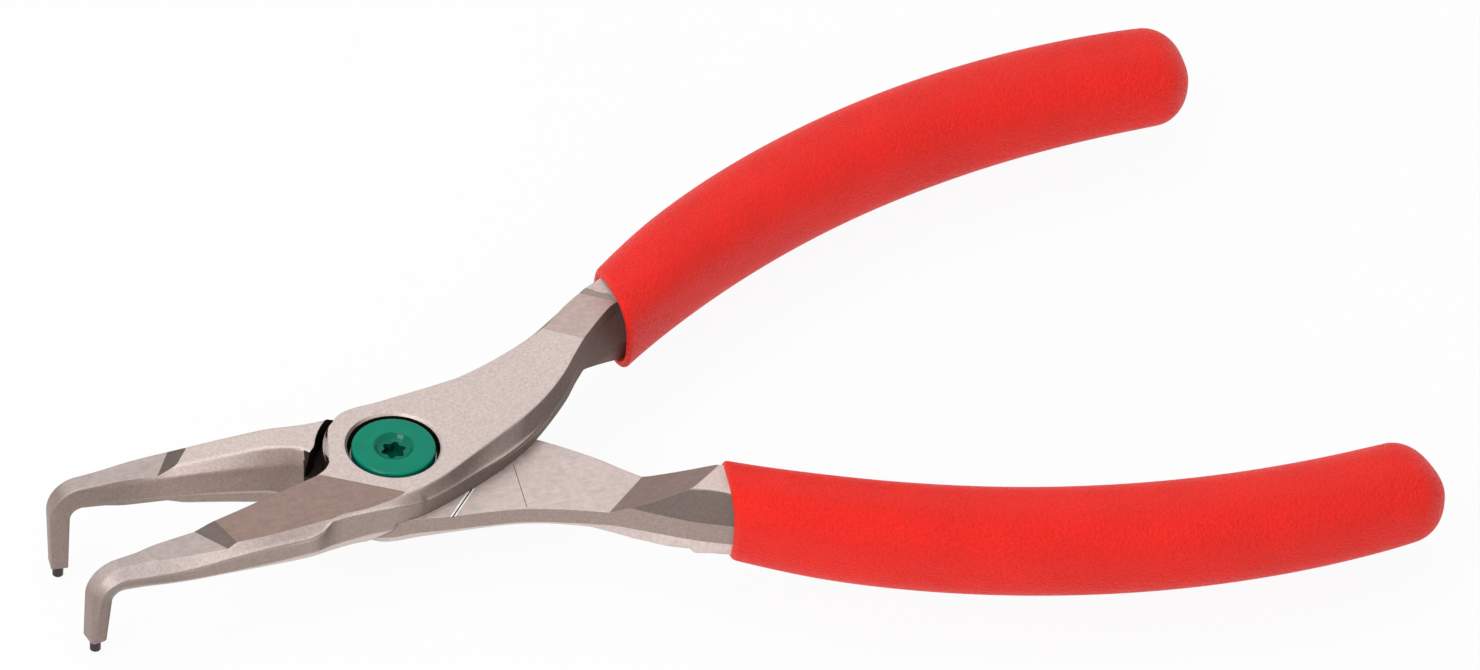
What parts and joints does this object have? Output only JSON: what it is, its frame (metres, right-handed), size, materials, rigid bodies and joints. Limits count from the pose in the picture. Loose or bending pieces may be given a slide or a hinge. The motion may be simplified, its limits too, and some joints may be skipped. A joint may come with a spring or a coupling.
{
  "type": "internal circlip pliers with bent tips",
  "caption": "Bent-tip pliers for internal retaining rings: forged levers cross at a screwed lap joint, with slim angled jaws, round tip pins, bowed handles and vinyl grips.",
  "frame": {"origin": "on the pivot axis, in the flat back of the joint", "axes": "+Z is the pivot axis with the screw head up, the handles point along +X and lie evenly on both sides of the XZ plane, and the bent tips point along -Z"},
  "size_m": [0.167, 0.0986, 0.0187],
  "materials": {
    "forged_steel": "satin, fine shot-blasted speckle with ground faces",
    "red_vinyl": "fine orange-peel grain",
    "dark_steel": "dark gunmetal",
    "green_enamel": "gloss enamel",
    "bright_steel": "plain machined",
    "spring_steel": "oiled spring wire"
  },
  "bodies": {
    "lower_half": {"lower_lever": "forged_steel", "lower_grip": "red_vinyl", "lower_tip_pin": "dark_steel", "pivot_screw": "green_enamel", "thrust_washer": "bright_steel", "pivot_nut": "bright_steel", "return_spring": "spring_steel"},
    "upper_half": {"upper_lever": "forged_steel", "upper_grip": "red_vinyl", "upper_tip_pin": "dark_steel"}
  },
  "joints": [
    {"name": "squeeze", "type": "hinge", "parent": "lower_half", "child": "upper_half", "pos_m": [0, 0, 0.0042], "axis": [0, 0, -1], "range_deg": [0, 16], "stiffness_Nm_per_rad": 2, "springref_deg": -8.59, "deforming": ["return_spring"]}
  ]
}
